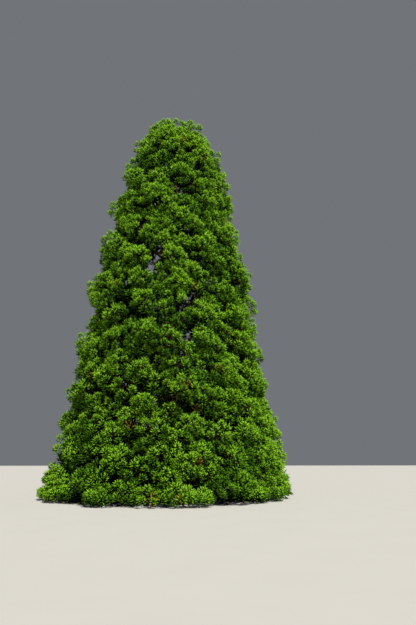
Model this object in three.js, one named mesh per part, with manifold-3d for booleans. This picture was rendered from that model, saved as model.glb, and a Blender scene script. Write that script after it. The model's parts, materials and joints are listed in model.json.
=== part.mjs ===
// A giant sequoia in a park, with a dense broad crown that reaches the ground.
// One tapering trunk carries main boughs in staggered tiers. Each bough ends at its own mass of foliage,
// and a leader mass grows on from the trunk's tip. Lengths are in millimetres, with +Z up and the origin
// in the middle of the flat cut at ground level.
import * as THREE from "three";
import { mergeVertices } from "three/addons/utils/BufferGeometryUtils.js";
import Module from "manifold-3d";

const wasm = await Module();
wasm.setup();

const METRE = 1000;
const SEAT_GAP = 0.35; // clear space where two pieces meet
const GOLDEN_TURN = Math.PI * (3 - Math.sqrt(5));

// Crown outline: a bowed cone with a blunt top and a skirt that flares out over the ground
const CROWN_TOP = 20.9 * METRE;
const CROWN_RADIUS = 4.9 * METRE;
const CROWN_TAPER = 0.65; // of the radius, lost from the ground to the top
const CROWN_BOW = 2.1;
const CROWN_BLUNTNESS = 20;
const SKIRT_FLARE = 1.0 * METRE;
const SKIRT_HEIGHT = 2.2 * METRE;
const GROUND_CLEARANCE = 0.05 * METRE;

// Trunk
const TRUNK_TOP = 18.6 * METRE;
const TRUNK_TAPER_TOP = 19.6 * METRE;
const TRUNK_RADIUS = 0.7 * METRE;
const TRUNK_TAPER = 0.9;
const ROOT_FLARE = 0.42 * METRE;
const ROOT_FLARE_HEIGHT = 0.7 * METRE;
const ROOT_FLUTE_DEPTH = 0.12;
const TRUNK_SIDES = 20;
const TRUNK_RINGS = 12;

// Tiers of boughs, from the skirt up
const TIERS = [
  { count: 7, height: 1.75 * METRE, reach: 0.64 },
  { count: 6, height: 5.3 * METRE, reach: 0.62 },
  { count: 6, height: 8.9 * METRE, reach: 0.61 },
  { count: 5, height: 12.5 * METRE, reach: 0.6 },
  { count: 4, height: 15.9 * METRE, reach: 0.58 },
];
const TIER_TURN = 0.35; // of a turn between masses, from one tier to the next
const HEIGHT_JITTER = 0.8 * METRE;
const TURN_JITTER = 0.16; // of the turn between two masses
const LEADER_HEIGHT = 19.0 * METRE;
const LEADER_FOOT = 16.9 * METRE;

// Boughs
const BOUGH_SIDES = 6;
const BOUGH_RINGS = 4;
const BOUGH_RADIUS_PER_LENGTH = 0.034;
const BOUGH_TIP_RADIUS = 0.055 * METRE;
const LOWEST_LIFT = -0.12; // height gained along a bough, as a share of its run
const HIGHEST_LIFT = 0.62;
const BOUGH_SAG = 0.09;

// Foliage masses
const MASS_GAP = 0.06 * METRE; // between the spaces of two masses
const INNER_LIMIT = 0.34; // of the crown's radius
const CORE_SIDE_SHARE = 0.95; // of the way from a mass's middle to its neighbours' space
const CORE_FRONT_SHARE = 0.66; // of the way from a mass's middle to the crown's outline
const CORE_ROUGHNESS = 0.035;
const STEM_TIP_RADIUS = 0.03 * METRE;
const SPRAY_SPACING = 1.2 * METRE; // between spray tips on the crown's outline
const SPRAY_JITTER = 0.4 * METRE;
const LOWEST_SPRAY = 0.2 * METRE;
const SPRAY_ROOT = 0.5; // of the way to the edge of the space
const SPRAY_TIP = 0.985;
const SPRAY_LEAN = 0.9; // how far a spray's tip leans up from its root, as a share of its direction
const SPRAY_WIDTH_PER_LENGTH = 0.95;
const SPRAY_THICKNESS = 0.3 * METRE;

const BARK = new THREE.MeshStandardMaterial({ color: 0x6b4630, roughness: 0.95, metalness: 0 });
const NEEDLES = [0x4f7a1c, 0x5f8c22, 0x436b1a].map(
  (color) => new THREE.MeshStandardMaterial({ color, roughness: 0.8, metalness: 0 }),
);

// Random numbers from 0 to 1 that are the same each time for one seed
function seeded(seed) {
  let state = seed;
  const next = () => {
    state = (state * 1664525 + 1013904223) % 4294967296;
    return state / 4294967296;
  };
  next();
  next();
  return next;
}

function crownRadius(z) {
  if (z >= CROWN_TOP) return 0;
  const share = Math.max(z / CROWN_TOP, 0);
  const cone = CROWN_RADIUS * (1 - CROWN_TAPER * share ** CROWN_BOW);
  return cone * Math.sqrt(1 - share ** CROWN_BLUNTNESS) + SKIRT_FLARE * Math.exp(-z / SKIRT_HEIGHT);
}

function trunkRadius(z) {
  const taper = TRUNK_RADIUS * (1 - z / TRUNK_TAPER_TOP) ** TRUNK_TAPER;
  return taper + ROOT_FLARE * Math.exp(-z / ROOT_FLARE_HEIGHT);
}

function solidOf(geometry) {
  geometry.deleteAttribute("normal");
  geometry.deleteAttribute("uv");
  const merged = mergeVertices(geometry, 1e-3);
  return new wasm.Manifold(
    new wasm.Mesh({
      numProp: 3,
      vertProperties: merged.attributes.position.array,
      triVerts: new Uint32Array(merged.index.array),
    }),
  );
}

function geometryOf(solid) {
  const mesh = solid.getMesh();
  const geometry = new THREE.BufferGeometry();
  geometry.setAttribute("position", new THREE.BufferAttribute(mesh.vertProperties, 3));
  geometry.setIndex(new THREE.BufferAttribute(mesh.triVerts, 1));
  geometry.computeVertexNormals();
  return geometry;
}

// The trunk, grown outwards by grow where a bough's end is cut to it
function trunkSolid(grow = 0) {
  const geometry = new THREE.CylinderGeometry(1, 1, 1, TRUNK_SIDES, TRUNK_RINGS);
  const position = geometry.attributes.position;
  for (let i = 0; i < position.count; i++) {
    const x = position.getX(i);
    const y = -position.getZ(i);
    const share = position.getY(i) + 0.5;
    const z = (TRUNK_TOP + grow) * share ** 1.5;
    const around = Math.atan2(y, x);
    const flute = Math.cos(5 * around) + 0.6 * Math.cos(3 * around + 1);
    const fade = ROOT_FLUTE_DEPTH * Math.exp(-z / (2 * ROOT_FLARE_HEIGHT));
    const radius = trunkRadius(z) * (1 + fade * flute) + grow;
    position.setXYZ(i, x * radius, y * radius, z);
  }
  return solidOf(geometry);
}

// A direction square to the given one, level wherever that is possible
function sideOf(direction) {
  const upright = Math.abs(direction.z) > 0.98 ? new THREE.Vector3(1, 0, 0) : new THREE.Vector3(0, 0, 1);
  return upright.cross(direction).normalize();
}

// A limb of round section that tapers along a curve, with a flat cut at each end, the last one moved on
function limbSolid(curve, startRadius, endRadius, sides, rings, moved = 0) {
  const geometry = new THREE.CylinderGeometry(1, 1, 1, sides, rings);
  const position = geometry.attributes.position;
  for (let i = 0; i < position.count; i++) {
    const share = position.getY(i) + 0.5;
    const tangent = curve.getTangent(share);
    const side = sideOf(tangent);
    const over = new THREE.Vector3().crossVectors(tangent, side);
    const radius = startRadius + (endRadius - startRadius) * share;
    const point = curve
      .getPoint(share)
      .addScaledVector(side, position.getX(i) * radius)
      .addScaledVector(over, -position.getZ(i) * radius)
      .addScaledVector(tangent, share === 1 ? moved : 0);
    position.setXYZ(i, point.x, point.y, point.z);
  }
  return solidOf(geometry);
}

// The middle of each mass: staggered tiers with seeded unevenness, and the leader on the axis
function massMiddles() {
  const middles = [];
  TIERS.forEach((tier, level) => {
    for (let k = 0; k < tier.count; k++) {
      const random = seeded(101 + 17 * middles.length);
      const turn = (2 * Math.PI) / tier.count;
      const around = turn * (k + level * TIER_TURN + (random() - 0.5) * 2 * TURN_JITTER);
      const jitter = level === 0 ? 0.35 : 1;
      const z = tier.height + (random() - 0.5) * 2 * HEIGHT_JITTER * jitter;
      const run = crownRadius(z) * tier.reach;
      middles.push({
        name: `tier_${level + 1}_${k + 1}`,
        point: new THREE.Vector3(run * Math.cos(around), run * Math.sin(around), z),
        outward: new THREE.Vector3(Math.cos(around), Math.sin(around), 0),
        rise: new THREE.Vector3(0.5 * Math.cos(around), 0.5 * Math.sin(around), 1).normalize(),
      });
    }
  });
  middles.push({
    name: "leader",
    point: new THREE.Vector3(0, 0, LEADER_HEIGHT),
    outward: new THREE.Vector3(0, 0, 1),
    rise: new THREE.Vector3(0, 0, 0),
  });
  return middles;
}

// Points spread evenly over the crown's outline by the golden turn, from the ground to the top
function sprayTips() {
  const steps = 2000;
  const rings = [{ z: 0, radius: crownRadius(0), area: 0 }];
  for (let i = 1; i <= steps; i++) {
    const z = CROWN_TOP * Math.sin(((i / steps) * Math.PI) / 2);
    const radius = crownRadius(z);
    const last = rings[i - 1];
    const band = Math.PI * (radius + last.radius) * Math.hypot(z - last.z, radius - last.radius);
    rings.push({ z, radius, area: last.area + band });
  }
  const whole = rings[steps].area;
  const count = Math.floor(whole / SPRAY_SPACING ** 2);
  return Array.from({ length: count }, (_, i) => {
    const random = seeded(907 + 31 * i);
    const area = ((i + 0.5) / count) * whole;
    const k = rings.findIndex((ring) => ring.area >= area);
    const share = (area - rings[k - 1].area) / (rings[k].area - rings[k - 1].area);
    const even = rings[k - 1].z + share * (rings[k].z - rings[k - 1].z);
    const z = Math.max(even + (random() - 0.5) * SPRAY_JITTER, LOWEST_SPRAY);
    const radius = crownRadius(z);
    const around = i * GOLDEN_TURN + ((random() - 0.5) * SPRAY_JITTER) / Math.max(radius, METRE);
    return new THREE.Vector3(radius * Math.cos(around), radius * Math.sin(around), z);
  });
}

// The planes that bound a mass's space: half way to each other mass, and clear of the bare middle
function spaceOf(mass, masses) {
  const planes = masses
    .filter((other) => other !== mass)
    .map((other) => {
      const inward = new THREE.Vector3().subVectors(mass.point, other.point);
      const half = inward.length() / 2;
      inward.normalize();
      return { inward, offset: inward.dot(mass.point) - half + MASS_GAP / 2 };
    });
  if (mass.name === "leader") {
    planes.push({ inward: new THREE.Vector3(0, 0, 1), offset: LEADER_FOOT });
  } else {
    planes.push({ inward: mass.outward, offset: INNER_LIMIT * crownRadius(mass.point.z) });
  }
  return planes;
}

function holds(planes, point) {
  return (
    point.z >= GROUND_CLEARANCE &&
    point.z < CROWN_TOP &&
    Math.hypot(point.x, point.y) <= crownRadius(point.z) &&
    planes.every((plane) => plane.inward.dot(point) >= plane.offset)
  );
}

// How far a direction can be followed from the mass's middle before it leaves the space
function reachOf(planes, from, direction) {
  const step = 0.1 * METRE;
  let inside = 0;
  while (holds(planes, from.clone().addScaledVector(direction, inside + step))) inside += step;
  let outside = inside + step;
  for (let i = 0; i < 12; i++) {
    const middle = (inside + outside) / 2;
    if (holds(planes, from.clone().addScaledVector(direction, middle))) inside = middle;
    else outside = middle;
  }
  return inside;
}

function alongReach(mass, planes, direction, share) {
  return mass.point.clone().addScaledVector(direction, share * reachOf(planes, mass.point, direction));
}

// A bough leaves the trunk above or below its mass, sags, and turns up into the mass
function boughCurve(mass) {
  const outward = mass.outward;
  const run = Math.hypot(mass.point.x, mass.point.y);
  const tipRun = INNER_LIMIT * crownRadius(mass.point.z);
  const lift = LOWEST_LIFT + (HIGHEST_LIFT - LOWEST_LIFT) * (mass.point.z / TRUNK_TOP);
  const rootZ = mass.point.z - lift * run;
  const tipZ = mass.point.z - (0.35 + 0.5 * Math.max(lift, 0)) * (run - tipRun);
  const root = outward.clone().multiplyScalar(0.3 * trunkRadius(rootZ)).setZ(rootZ);
  const tip = outward.clone().multiplyScalar(tipRun).setZ(tipZ);
  const intoMass = new THREE.Vector3().subVectors(mass.point, tip).normalize();
  const bend = tip.clone().addScaledVector(intoMass, -0.45 * tipRun);
  bend.z -= BOUGH_SAG * run;
  // the third point lies straight behind the tip, so the stem carries on in line
  const behind = tip.clone().addScaledVector(intoMass, -0.35 * tipRun);
  const curve = new THREE.CubicBezierCurve3(root, root.clone().lerp(bend, 0.5), behind, tip);
  return { curve, tip, intoMass, length: curve.getLength() };
}

// A bough, grown outwards by grow where foliage is cut clear of it
function boughSolid(bough, grow = 0) {
  const start = BOUGH_TIP_RADIUS + BOUGH_RADIUS_PER_LENGTH * bough.length + grow;
  return limbSolid(bough.curve, start, BOUGH_TIP_RADIUS + grow, BOUGH_SIDES, BOUGH_RINGS, grow);
}

// A spray of needles: a thin blade that widens from its root to three points
function spraySolid(root, tip, size) {
  const along = [0, 0.8, 0.76, 1, 0.76, 0.8];
  const across = [0, -0.5, -0.24, 0, 0.24, 0.5];
  const axis = new THREE.Vector3().subVectors(tip, root);
  const length = axis.length();
  axis.normalize();
  const width = SPRAY_WIDTH_PER_LENGTH * length * size;
  const side = sideOf(axis);
  const over = new THREE.Vector3().crossVectors(axis, side);
  const ridges = [-1, 1].map((way) =>
    root
      .clone()
      .addScaledVector(axis, 0.62 * length)
      .addScaledVector(over, (way * SPRAY_THICKNESS) / 2),
  );
  const corners = along.map((share, i) =>
    root
      .clone()
      .addScaledVector(axis, share * length)
      .addScaledVector(side, across[i] * width),
  );
  const geometry = new THREE.SphereGeometry(1, along.length, 2);
  const position = geometry.attributes.position;
  for (let i = 0; i < position.count; i++) {
    const height = position.getY(i);
    const turn = Math.atan2(-position.getZ(i), position.getX(i)) / (2 * Math.PI);
    const corner = corners[Math.round((turn + 1) * corners.length) % corners.length];
    const point = Math.abs(height) > 0.5 ? ridges[height > 0 ? 1 : 0] : corner;
    position.setXYZ(i, point.x, point.y, point.z);
  }
  return { solid: solidOf(geometry), corners: [...corners, ...ridges] };
}

function coreSolid(mass, planes, random) {
  const geometry = new THREE.IcosahedronGeometry(1, 1);
  geometry.deleteAttribute("normal");
  geometry.deleteAttribute("uv");
  const ball = mergeVertices(geometry, 1e-3);
  const position = ball.attributes.position;
  for (let i = 0; i < position.count; i++) {
    const direction = new THREE.Vector3().fromBufferAttribute(position, i).normalize();
    const rough = 1 + (random() - 0.5) * 2 * CORE_ROUGHNESS;
    const edge = alongReach(mass, planes, direction, 1);
    const atOutline = Math.hypot(edge.x, edge.y) > crownRadius(edge.z) - 0.05 * METRE;
    const share = rough * (atOutline ? CORE_FRONT_SHARE : CORE_SIDE_SHARE);
    const point = mass.point.clone().lerp(edge, share);
    position.setXYZ(i, point.x, point.y, point.z);
  }
  return solidOf(ball);
}

// A mass: the stem that carries its bough on, a smaller core, and sprays that stand out of the core
function massSolid(mass, planes, tips, seats) {
  const random = seeded(907 + 31 * mass.index);
  const { bough } = mass;
  const core = seats.reduce((left, seat) => left.subtract(seat), coreSolid(mass, planes, random));
  const stemStart = bough.tip.clone().addScaledVector(bough.intoMass, SEAT_GAP);
  const stem = limbSolid(
    new THREE.LineCurve3(stemStart, mass.point.clone()),
    bough.tipRadius,
    STEM_TIP_RADIUS,
    BOUGH_SIDES,
    1,
  );
  const pieces = [core, stem];
  for (const tip of tips) {
    const direction = new THREE.Vector3().subVectors(tip, mass.point).normalize();
    const lower = direction.addScaledVector(mass.rise, -SPRAY_LEAN * (0.7 + 0.6 * random())).normalize();
    const root = alongReach(mass, planes, lower, SPRAY_ROOT);
    const end = mass.point.clone().lerp(tip, SPRAY_TIP);
    const spray = [1, 0.75, 0.5, 0.3]
      .map((size) => spraySolid(root, end, size))
      .find((made) => made.corners.every((corner) => holds(planes, corner)));
    if (spray && !seats.some((seat) => spray.solid.intersect(seat).volume() > 0)) pieces.push(spray.solid);
  }
  const bodies = wasm.Manifold.union(pieces).decompose();
  return bodies.sort((a, b) => b.volume() - a.volume())[0];
}

const tree = new THREE.Group();

function addPiece(name, solid, material) {
  const mesh = new THREE.Mesh(geometryOf(solid), material);
  mesh.name = name;
  tree.add(mesh);
}

const trunk = trunkSolid();
const trunkSeat = trunkSolid(SEAT_GAP);
addPiece("trunk", trunk, BARK);

const masses = massMiddles();
masses.forEach((mass, index) => {
  mass.index = index;
  if (mass.name === "leader") {
    mass.bough = { tip: new THREE.Vector3(0, 0, TRUNK_TOP), intoMass: new THREE.Vector3(0, 0, 1) };
    mass.bough.tipRadius = trunkRadius(TRUNK_TOP);
    return;
  }
  mass.bough = boughCurve(mass);
  mass.bough.tipRadius = BOUGH_TIP_RADIUS;
  addPiece(`bough_${mass.name}`, boughSolid(mass.bough).subtract(trunkSeat), BARK);
  mass.seat = boughSolid(mass.bough, SEAT_GAP);
});

const tipsOf = new Map(masses.map((mass) => [mass, []]));
for (const tip of sprayTips()) {
  const nearest = masses.reduce((a, b) => (tip.distanceTo(a.point) <= tip.distanceTo(b.point) ? a : b));
  tipsOf.get(nearest).push(tip);
}

const seats = [trunkSeat, ...masses.filter((mass) => mass.seat).map((mass) => mass.seat)];
for (const mass of masses) {
  const foliage = massSolid(mass, spaceOf(mass, masses), tipsOf.get(mass), seats);
  addPiece(`foliage_${mass.name}`, foliage, NEEDLES[mass.index % NEEDLES.length]);
}

export default tree;
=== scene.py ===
"""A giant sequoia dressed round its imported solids.

The solids hold the trunk, the boughs and the space of each mass of foliage. Here the same seeded rule is
carried on to branches, twigs and bunches of needle shoots, and the trunk and boughs get their bark.
"""

import json
import math
from dataclasses import dataclass
from functools import cache

import bpy
import numpy as np
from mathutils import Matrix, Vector

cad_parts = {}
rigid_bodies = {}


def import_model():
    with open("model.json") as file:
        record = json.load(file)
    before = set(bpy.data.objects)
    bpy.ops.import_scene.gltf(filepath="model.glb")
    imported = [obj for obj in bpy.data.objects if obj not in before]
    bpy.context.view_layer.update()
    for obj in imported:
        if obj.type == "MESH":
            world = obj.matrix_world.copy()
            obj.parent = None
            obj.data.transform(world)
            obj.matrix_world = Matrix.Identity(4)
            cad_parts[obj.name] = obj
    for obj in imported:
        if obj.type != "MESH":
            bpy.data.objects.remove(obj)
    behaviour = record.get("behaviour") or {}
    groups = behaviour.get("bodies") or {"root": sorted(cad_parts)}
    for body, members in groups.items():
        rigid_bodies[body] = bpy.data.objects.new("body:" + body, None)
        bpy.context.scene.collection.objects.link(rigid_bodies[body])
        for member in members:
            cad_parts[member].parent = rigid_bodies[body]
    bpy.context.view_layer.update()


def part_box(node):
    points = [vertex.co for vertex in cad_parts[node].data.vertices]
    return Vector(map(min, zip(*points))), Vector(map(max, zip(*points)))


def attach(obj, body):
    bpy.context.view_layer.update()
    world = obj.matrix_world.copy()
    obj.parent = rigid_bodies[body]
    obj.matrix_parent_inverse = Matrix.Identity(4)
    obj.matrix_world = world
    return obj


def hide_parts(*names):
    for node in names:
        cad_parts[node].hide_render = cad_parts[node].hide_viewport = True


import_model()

bl_info = {
    "name": "Giant sequoia",
    "version": (1, 0, 0),
    "blender": (4, 5, 0),
    "location": "3D View > Sidebar > Sequoia",
    "description": "Grows the bark, branches and needles of a giant sequoia on its solids",
    "category": "Add Mesh",
}

# The rule of the solids, in metres
SEAT_GAP = 0.00035
GOLDEN_TURN = math.pi * (3 - math.sqrt(5))
CROWN_TOP = 20.9
CROWN_RADIUS = 4.9
CROWN_TAPER = 0.65
CROWN_BOW = 2.1
CROWN_BLUNTNESS = 20
SKIRT_FLARE = 1.0
SKIRT_HEIGHT = 2.2
GROUND_CLEARANCE = 0.05
TRUNK_TOP = 18.6
TRUNK_TAPER_TOP = 19.6
TRUNK_RADIUS = 0.7
TRUNK_TAPER = 0.9
ROOT_FLARE = 0.42
ROOT_FLARE_HEIGHT = 0.7
ROOT_FLUTES = 5
WIDER_FLUTES = 3
WIDER_FLUTE_SHARE = 0.6
WIDER_FLUTE_TURN = 1
ROOT_FLUTE_DEPTH = 0.12
TIERS = ((7, 1.75, 0.64), (6, 5.3, 0.62), (6, 8.9, 0.61), (5, 12.5, 0.6), (4, 15.9, 0.58))
ZONES = ("lower", "lower", "middle", "middle", "upper")
TIER_TURN = 0.35
HEIGHT_JITTER = 0.8
LOWEST_TIER_JITTER = 0.35
TURN_JITTER = 0.16
LEADER_HEIGHT = 19.0
BOUGH_RADIUS_PER_LENGTH = 0.034
BOUGH_TIP_RADIUS = 0.055
LOWEST_LIFT = -0.12
HIGHEST_LIFT = 0.62
BOUGH_SAG = 0.09
BOUGH_ROOT_DEPTH = 0.3
BOUGH_ROOT_HANDLE = 0.45
BOUGH_TIP_HANDLE = 0.35
LEVEL_TIP_DROP = 0.35
LIFTED_TIP_DROP = 0.5
INNER_LIMIT = 0.34
SPRAY_JITTER = 0.4
LOWEST_SPRAY = 0.2
AREA_STEPS = 2000
SLOPE_STEP = 0.02

# Where a direction counts as upright, and a length as nothing
STEEP = 0.98
NO_LENGTH = 1e-9

# A draw takes its last state times the factor, plus the step, within the range
DRAW_FACTOR = 1664525
DRAW_STEP = 1013904223
DRAW_RANGE = 2**32

# Each pair is a first seed and the step to the next
MASS_SEEDS = (101, 17)
TIP_SEEDS = (907, 31)
CLUMP_SEEDS = (40503, 97)
PLUME_SEEDS = (7001, 131)

# How far the finer growth reaches past the crown's outline, or stays inside it, and its domed top
OVERREACH = 0.32
UNDERREACH = -0.3
WIDEST_REACH = 5.78
TOP_MARGIN = 0.95
TOP_DOME = 0.1

# Shoots that would reach into the ground are pressed into a layer this thick on it
PRESSED_LAYER = 0.06

# Clumps stand inside the outline, many of them set back, though less so on the last metres to the top
CLUMP_RADIUS = 0.58
CLUMP_SPREAD = 1.7
CLUMP_FLATNESS = 0.85
CLUMP_DEPTH = 0.46
CLUMP_RISE = 0.35
CLUMP_LIFT = 0.9
CLUMP_HEADROOM = 0.6
SET_BACK = 0.95
EVEN_TOP = 4.0

# Round this height, on the +X side, the clumps aren't set back, so the skirt is fullest there
FULL_SIDE_HEIGHT = 2.8
FULL_SIDE_SPAN = 1.6

# How finely the limbs are divided. The trunk's rings stand closer low down
TRUNK_RINGS = 300
TRUNK_RINGS_LOW = 1.2
TRUNK_SIDES = 144
BOUGH_RINGS = 26
BOUGH_SIDES = 24
STEM_SIDES = 10
BRANCH_SIDES = 5
TWIG_SIDES = 3

# The ridges round trunk and boughs, and how the streaks of each bark are stretched and shaded
TRUNK_RIDGES = 26
TRUNK_STRETCH = 9.0
BOUGH_RIDGES = 11
BOUGH_FURROW = 0.12
BOUGH_FINENESS = 3
BOUGH_STRETCH = 3.0
BOUGH_SHADE = 0.75
BRANCH_STRETCH = 1.5
BRANCH_SHADE = 0.4

# Ridges drift in waves: how strong each is, how fast it runs along and round the limb, and its start
DRIFT_WAVES = ((0.6, 1.1, 2, 0.0), (0.4, 2.9, -3, 1.3))
RIDGE_DRIFT = 1.5
RIDGE_ROUNDNESS = 0.6

# A second set of fewer ridges leans across the first
FEWER_CROSSING = 3
CROSSING_DRIFT = 1.2
CROSSING_LEAN = 0.5

# Fine fibres run along the ridges and wander a little
FIBRES_PER_RIDGE = 4
FIBRE_DRIFT = 7
FIBRE_WANDER = 3
FIBRE_BENDS = 5
FIBRE_DEPTH = 0.12

# A branch runs from the outer part of its mass's stem to its clump
LIMB_RINGS = 6
BRANCH_FORK = 2
BRANCH_BOW = 0.12
BRANCH_TIP_RADIUS = 0.009
BRANCH_START_RADIUS = 0.014
BRANCH_RADIUS_PER_LENGTH = 0.009
STEM_TIP_RADIUS = 0.03
TWIG_RADII = (0.011, 0.004)
TWIG_INTO_BUNCH = 0.35

# How strongly a bunch points its own way out, along its clump's axis, its branch or its offset
OWN_WAY = 0.6
CLUMP_WAY = 0.4
BRANCH_WAY = 0.6
OFFSET_WAY = 0.9
FILL_UPWARD = 0.3
AXIS_ALONG_BRANCH = 0.4
AXIS_UPWARD = 0.35
TWIG_STUB = 0.02

# Each pair is the least value and what chance adds to it at most
CLUMP_SIZES = (0.85, 0.4)
OUTER_SIZES = (0.8, 0.45)
INNER_SIZES = (1.3, 0.5)
OUTER_REACHES = (0.85, 0.4)
OUTER_RISES = (0.45, 0.5)
FILL_OFFSETS = (0.3, 0.35)
FILL_DEPTHS = (0.7, 0.6)

# A bunch that would leave the crown is tried again at these shares of its reach
REACH_TRIES = (1.0, 0.88, 0.76, 0.64)

# Coarse bunches stand at these shares of a branch and in rings behind each clump, two rings low down
BRANCH_BUNCHES = (0.2, 0.32, 0.44, 0.56, 0.68, 0.8, 0.92)
FILL_BUNCHES = 5
FILL_DEPTH = 0.5
DEEPER_FILL = 2.5
DENSE_BELOW = 5.0

# A bunch whose shoots would reach into the ground is raised, or left out where it would take too much
SHOOTS_REACH_BELOW = 0.34
LEAST_GROUND_GAP = 0.02
MOST_LIFT = 0.45

# Each wave: how fast it runs along x, y and z, and where it starts
LUMP_WAVES = ((2.9, 0.0, 1.7, 0.4), (0.0, 2.6, -2.3, 2.0), (1.9, -1.9, 3.1, 0.0))
TINT_WAVES = ((1.3, 0.0, 0.7, 1.1), (0.0, 1.7, -1.1, 0.0), (1.9, -1.0, 0.9, 0.0))

# What makes a bunch light: its patch of the crown and chance, which are its own tone, and its rise in the
# clump and its depth, which paint a highlight on the clump's top and shade deep in the crown
PATCH_LIGHT = 0.08
CHANCE_LIGHT = 0.6
CHANCE_TURNS = 7.31
RISE_PAINTED_LIGHT = 0.35
DEPTH_PAINTED_SHADE = 0.4
DEPTH_OF_MEAN_LIGHT = 0.25
# Bunches lighter than the first get the lit fresh tint, painted light, and those darker than the second get
# the shaded tint, painted shade
FRESH_PAINTED_LIT_ABOVE = 0.55
SHADED_BELOW = 0.3

# Which share of the outer bunches is dead
FOOT_OF_CROWN = 1.5
DEAD_AT_FOOT = 0.018
DEAD_ABOVE = 0.01

# Where the sky shows through the crown: x, z and radius in the upright plane through the trunk
SKY_GAPS = (
    (-0.8, 12.2, 0.38),
    (-1.21, 11.48, 0.34),
    (-2.46, 10.64, 0.26),
    (0.94, 9.89, 0.32),
    (0.36, 9.3, 0.28),
    (-2.6, 9.77, 0.2),
    (0.29, 16.17, 0.22),
    (-1.09, 15.35, 0.28),
    (-2.26, 5.43, 0.24),
    (0.7, 13.62, 0.2),
    (-0.53, 17.9, 0.18),
    (-1.65, 14.15, 0.18),
    (1.41, 10.09, 0.18),
    (0.9, 8.03, 0.22),
    (0.56, 6.63, 0.18),
)

# A shoot is a blade of four corners: its root, the two sides of its belly and its tip
SHOOT_KEEL = 0.35
SHOOT_BELLY = 0.55
SHOOT_DROOP = 0.3
SHOOT_FACES = ((0, 2, 1), (3, 1, 2), (0, 1, 3), (0, 3, 2))

# The dome that a bunch's tips lie on, and how its shoots run there from its axle, in bunch lengths
DOME_RADII = np.array((0.52, 0.52, 0.56))
DOME_MIDDLE = 0.44
DOME_REACHES = (0.86, 0.18)
DOME_SWAY = 0.16
AXLE_RISE = 0.3
SHOOT_START = 0.22
SHOOT_WIDTHS = (0.8, 0.4)
SHOOT_ROLL = 6.28

# Each uneven pattern: how fine it is, how many finer ones it carries and how strongly
STREAKS = (3.0, 6.0, 0.6)
PATCHES = (1.4, 3.0, 0.5)
PITS = (14.0, 4.0, 0.5)
BLOTCHES = (5.0, 2.0, 0.5)
GRAIN = (0.8, 4.0, 0.5)

# The fibres of the bark, how its streaks are spread between dark and light, and its grey patches
FIBRE_FINENESS = 6.0
STREAK_CONTRAST = 1.6
STREAK_CUT = 0.3
PATCH_LEAST = 0.7
PATCH_GAIN = 0.6
GREY_NARROWNESS = 3
GREY_COLOUR = 0.6
GREY_LIGHT = 0.16

# The relief of the bark's surface, and how rough and shiny the surfaces are
BARK_BUMP = 0.6
BARK_BUMP_DEPTH = 0.02
PIT_DEPTH = 0.4
BARK_ROUGHNESS = 0.98
PIT_SMOOTHNESS = 0.16
BARK_SHINE = 0.06
NEEDLE_ROUGHNESS = 0.55
BLOTCH_ROUGHNESS = 0.2
NEEDLE_SHINE = 0.04
FLOOR_ROUGHNESS = 0.9

# The darkest and the lightest that a colour gets
BLOTCH_GAINS = (0.72, 1.28)
GRAIN_GAINS = (0.97, 1.03)

# The colours that needles come in, among them lit and shaded copies that are painted light and painted
# shade, and the seed of the dead sprays' turns
NEEDLE_COLOURS = ("fresh", "pale", "shaded", "mid", "deep", "inner", "rust")
RUST_SEED = 3

# The camera stands at eye height and looks up at the crown
EYE = (0.0, -24.0, 1.65)
CAMERA_TILT = math.radians(17.15)
CAMERA_YAW = math.radians(-4.5)
CAMERA_LENS = 27.65
SENSOR_WIDTH = 36.0
FARTHEST_SEEN = 1000.0

# Afternoon sun from the front, a little to the right, and a soft sky
SUN_STRENGTH = 7.3
SUN_COLOUR = (1.0, 0.95, 0.86)
SUN_SIZE = math.radians(4)
SUN_AZIMUTH = math.radians(17)
SUN_ELEVATION = math.radians(45)
SKY_COLOUR = (0.75, 0.8, 0.86, 1.0)
SKY_STRENGTH = 0.22
FLOOR_HALF = 150.0


# The solids' rule, written again

def seeded(seed):
    """Random numbers from 0 to 1 that are the same each time for one seed."""
    state = seed

    def draw():
        nonlocal state
        state = (state * DRAW_FACTOR + DRAW_STEP) % DRAW_RANGE
        return state / DRAW_RANGE

    draw()
    draw()
    return draw


def seeded_row(seeds, index):
    """The random numbers of one member of a row."""
    first, step = seeds
    return seeded(first + step * index)


def crown_radius(height):
    """The radius of the crown's outline: a bowed cone with a blunt top and a flared skirt."""
    share = np.clip(np.asarray(height) / CROWN_TOP, 0, 1)
    cone = CROWN_RADIUS * (1 - CROWN_TAPER * share**CROWN_BOW) * np.sqrt(1 - share**CROWN_BLUNTNESS)
    flare = SKIRT_FLARE * np.exp(-np.asarray(height) / SKIRT_HEIGHT)
    return np.where(np.asarray(height) < CROWN_TOP, cone + flare, 0.0)


def trunk_radius(height):
    """The radius of the trunk, which flares at its root."""
    taper = TRUNK_RADIUS * (1 - height / TRUNK_TAPER_TOP) ** TRUNK_TAPER
    return taper + ROOT_FLARE * np.exp(-height / ROOT_FLARE_HEIGHT)


def uneven(least_and_extra, draw):
    """The least value and a part, by chance, of what may be added to it."""
    least, extra = least_and_extra
    return least + extra * draw()


def waves(x, y, z, table):
    """The sum of a few waves over the crown."""
    return sum(np.sin(by_x * x + by_y * y + by_z * z + start) for by_x, by_y, by_z, start in table)


def unit(vectors):
    """Vectors of length one that point the same ways."""
    vectors = np.asarray(vectors, float)
    return vectors / np.maximum(np.linalg.norm(vectors, axis=-1, keepdims=True), NO_LENGTH)


def side_of(directions):
    """A direction square to each given one, level wherever that is possible."""
    directions = np.asarray(directions, float)
    steep = np.abs(directions[..., 2:3]) > STEEP
    upright = np.where(steep, (1.0, 0.0, 0.0), (0.0, 0.0, 1.0))
    return unit(np.cross(upright, directions))


@dataclass
class Mass:
    """One mass of foliage: its middle, its outward direction and the part of the crown it is in."""

    name: str
    zone: str
    point: np.ndarray
    outward: np.ndarray


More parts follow.
